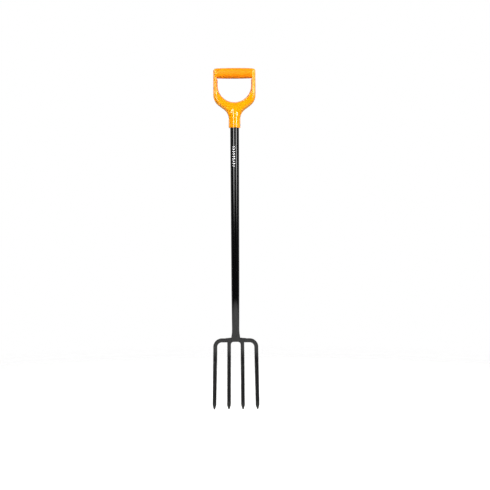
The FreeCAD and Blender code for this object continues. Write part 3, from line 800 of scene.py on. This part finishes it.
def makeHead():
    pad, deep = 1.5, head["halfDepth"] + 1.5
    corner = np.array([middleHigh[0] + pad, deep, barTop + pad])
    points, quads = netSurface(centreField, (-corner[0], -deep, -pad), corner, head["steps"])
    makePiece("centreTines", bendHead(points), quads, noTriangles, blackHead, ["centre_tines"])
    corner = np.array([outerHigh[0] + pad, deep, outerHigh[2] + pad])
    points, quads = netSurface(outerField, (outerLow[0] - pad, -deep, -pad), corner, head["steps"])
    bent = bendHead(points)
    for end, side in (("Right", 1), ("Left", -1)):
        nodes = ["outer_tine_" + end.lower()]
        makePiece("outerTine" + end, bent * [side, 1, 1], quads, noTriangles, blackHead, nodes)


makeHead()

# ---- welds

weld = {
    "ringHalfHeight": 6.5,
    "ringHalfDepth": 6.2,
    "ringHalfLength": 3.2,
    "ringStand": 0.7,
    "footRadius": 1.9,
    "ripples": 16,
    "ripple": 0.14,
    "pointsAlong": 220,
    "pointsRound": 20,
}


def beadRings(path, outward, aside, halfWidth, halfStand, ripples):
    # An oval bead carried along a closed path. Its size pulses with the welder's ripples, and its crown lags
    # behind its edges, which bends each ripple into an arc.
    along = np.linspace(0, 2 * math.pi, len(path), endpoint=False)[:, None]
    turn = np.linspace(0, 2 * math.pi, weld["pointsRound"], endpoint=False)[None, :]
    pulse = 1 + weld["ripple"] * np.sin(ripples * along + 0.9 * np.cos(turn)) + 0.06 * np.sin(3 * along + 1)
    wide, tall = halfWidth * pulse * np.sin(turn), halfStand * pulse * np.cos(turn)
    return path[:, None] + wide[..., None] * aside[:, None] + tall[..., None] * outward[:, None]


def makeBarWeld(name, node, side):
    # a bead round the joint between two bars: its path is a squarish oval in the y-z plane
    turn = np.linspace(0, 2 * math.pi, weld["pointsAlong"], endpoint=False)
    c, s = np.cos(turn), np.sin(turn)
    y = weld["ringHalfDepth"] * np.sign(c) * np.abs(c) ** 0.55
    z = weld["ringHalfHeight"] * np.sign(s) * np.abs(s) ** 0.55
    middleZ = (barTop + barLow) / 2 - 0.7
    path = np.stack([np.full_like(y, side * middleHigh[0]), y + headLine(middleZ + z), middleZ + z], axis=1)
    outward = np.stack([np.zeros_like(y), y, z], axis=1)
    outward /= np.linalg.norm(outward, axis=1)[:, None]
    aside = np.tile([1.0, 0.0, 0.0], (len(turn), 1))
    rings = beadRings(path, outward, aside, weld["ringHalfLength"], weld["ringStand"], weld["ripples"])
    makeTubes(name, [rings], blackWeld, [node], closed=True)


def makeFootWeld():
    # a bead round the shaft's foot, along the line where it meets the crossbar
    turn = np.linspace(0, 2 * math.pi, weld["pointsAlong"], endpoint=False)
    edge = footEdge(turn) + 0.3
    path = ovalRing(edge, 0.2, turn)
    forward = np.roll(path, -1, axis=0) - np.roll(path, 1, axis=0)
    forward /= np.linalg.norm(forward, axis=1)[:, None]
    centre = np.stack([np.zeros_like(edge), shaftLine(edge), edge], axis=1)
    away = path - centre
    away /= np.linalg.norm(away, axis=1)[:, None]
    aside = np.cross(forward, away)
    aside /= np.linalg.norm(aside, axis=1)[:, None]
    outward = np.cross(aside, forward)
    sideways = 0.55 + 0.45 * np.abs(np.cos(turn))[:, None]
    radius = weld["footRadius"]
    rings = beadRings(path, outward * sideways, aside * sideways, radius, radius, 2 * weld["ripples"])
    makeTubes("shaftWeldBead", [rings], blackWeld, ["shaft_weld_beads"], closed=True)


makeBarWeld("barWeldRight", "bar_weld_right", 1)
makeBarWeld("barWeldLeft", "bar_weld_left", -1)
makeFootWeld()


# ---- pieces that keep their CAD shape

def dress(node, material):
    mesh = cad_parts[node].data
    mesh.materials.clear()
    mesh.materials.append(material)


dress("handle_screw", zincSteel())
print("screw finished")

# ---- studio

studio = {
    "floorRadius": 2.6,
    "floorFadeFrom": 0.7,
    "floorColour": (0.84, 0.84, 0.835, 1),
    "floorSpeck": (0.8148, 0.8148, 0.80995, 1),
    "frontLamp": (12, 0.62, 1.12),  # strength, lowest height, height from which it is whole
    "rimLamp": (4.8, 1.2, 1.36),
    "sideDistance": 2.3,
    "sideWidth": 0.85,
    "sideHigh": 2.7,
    "topLamp": 1.2,
    "backLamp": 0.96,
    "backdrop": 0.45,
    "floorGlow": 0.56,
    "front": 0.015,
    "frontReach": (-0.15, 0.5),  # how far back a direction points: where the front ends, the backdrop starts
}


def makePanel(name, corners, strength, fadeFrom=None, fadeTo=None):
    # a flat lamp, unseen by the camera; it may fade out towards its lower edge
    mesh = bpy.data.meshes.new(name)
    mesh.from_pydata(corners, [], [(0, 1, 2, 3)])
    panel = bpy.data.objects.new(name, mesh)
    bpy.context.scene.collection.objects.link(panel)
    look = Look(name + "Glow")
    glow = strength
    if fadeFrom is not None:
        glow = look.between(look.axis("Z"), fadeFrom, fadeTo) * strength
    lamp = look.node("ShaderNodeEmission", None, {"Color": (1, 1, 1, 1), "Strength": glow})
    look.finish(lamp, "Material Output")
    mesh.materials.append(look.material)
    panel.visible_camera = False
    return panel


def makeSidePanel(name, angle, strength, low, full):
    # an upright lamp beside the tool, dark up to the height low and whole from the height full
    s = studio
    turn = math.radians(angle)
    centre = np.array([math.sin(turn), -math.cos(turn)]) * s["sideDistance"]
    side = np.array([math.cos(turn), math.sin(turn)]) * s["sideWidth"] / 2
    a, b = centre - side, centre + side
    corners = [(*a, low), (*b, low), (*b, s["sideHigh"]), (*a, s["sideHigh"])]
    makePanel(name, corners, strength, low, full)


def makeFloor():
    angle = np.linspace(0, 2 * math.pi, 96, endpoint=False)
    ring = np.stack([np.cos(angle), np.sin(angle), np.zeros(96)], axis=1) * studio["floorRadius"]
    mesh = bpy.data.meshes.new("floor")
    mesh.from_pydata(ring.tolist(), [], [tuple(range(96))])
    floor = bpy.data.objects.new("floor", mesh)
    bpy.context.scene.collection.objects.link(floor)
    look = Look("paleFloor", Roughness=0.9)
    grain = look.noise(0.004, 3)
    colour = look.blend(grain, studio["floorColour"], studio["floorSpeck"])
    distance = look.node("ShaderNodeVectorMath", {"operation": "LENGTH"}, {0: look.place}, out="Value")
    kept = 1 - look.between(distance, studio["floorFadeFrom"], studio["floorRadius"])
    look.shader.inputs["Emission Strength"].default_value = studio["floorGlow"]
    mesh.materials.append(look.set(Base_Color=colour, Emission_Color=colour, Alpha=kept))
    floor.visible_diffuse = False  # its glow isn't a lamp, and only shows and mirrors as a white sheet


def makeWorld():
    # white behind the object and for the camera, dark where the object would mirror the room in front
    world = bpy.data.worlds.new("studioAir")
    world.use_nodes = True
    bpy.context.scene.world = world
    world.node_tree.nodes.remove(world.node_tree.nodes["Background"])
    air, white = NodeTree(world.node_tree), (1, 1, 1, 1)
    direction = air.node("ShaderNodeTexCoord", out="Generated")
    ahead = air.node("ShaderNodeSeparateXYZ", None, {0: direction}, out="Y")
    glow = air.between(ahead, *studio["frontReach"], studio["front"], studio["backdrop"])
    unseen = air.node("ShaderNodeBackground", None, {"Color": white, "Strength": glow})
    seen = air.node("ShaderNodeBackground", None, {"Color": white})
    toCamera = air.node("ShaderNodeLightPath", out="Is Camera Ray")
    air.finish(air.node("ShaderNodeMixShader", None, {0: toCamera, 1: unseen, 2: seen}), "World Output")


camera = {"lens": 84, "distance": 4.02, "height": 0.5775, "sideways": 0.0345, "roll": 0.3}


def makeCamera():
    data = bpy.data.cameras.new("camera")
    data.lens, data.sensor_width = camera["lens"], 36
    data.clip_start, data.clip_end = 0.1, 50
    eye = bpy.data.objects.new("camera", data)
    bpy.context.scene.collection.objects.link(eye)
    eye.location = (camera["sideways"], shaftY * mm - camera["distance"], camera["height"])
    eye.rotation_euler = (math.pi / 2, math.radians(camera["roll"]), 0)
    bpy.context.scene.camera = eye


makeFloor()
for name, frontAngle, rimAngle in (("Right", 46, 98), ("Left", -25, -98)):
    makeSidePanel("frontLamp" + name, frontAngle, *studio["frontLamp"])
    makeSidePanel("rimLamp" + name, rimAngle, *studio["rimLamp"])
makePanel(
    "topLamp", [(-1.1, -2.6, 2.6), (1.1, -2.6, 2.6), (1.1, -0.9, 3.5), (-1.1, -0.9, 3.5)], studio["topLamp"]
)
makePanel(
    "backLamp", [(-1.1, 0.9, 3.5), (1.1, 0.9, 3.5), (1.1, 2.6, 2.6), (-1.1, 2.6, 2.6)], studio["backLamp"]
)
makeWorld()
makeCamera()
bpy.context.scene.view_settings.view_transform = "Standard"
print("studio ready")
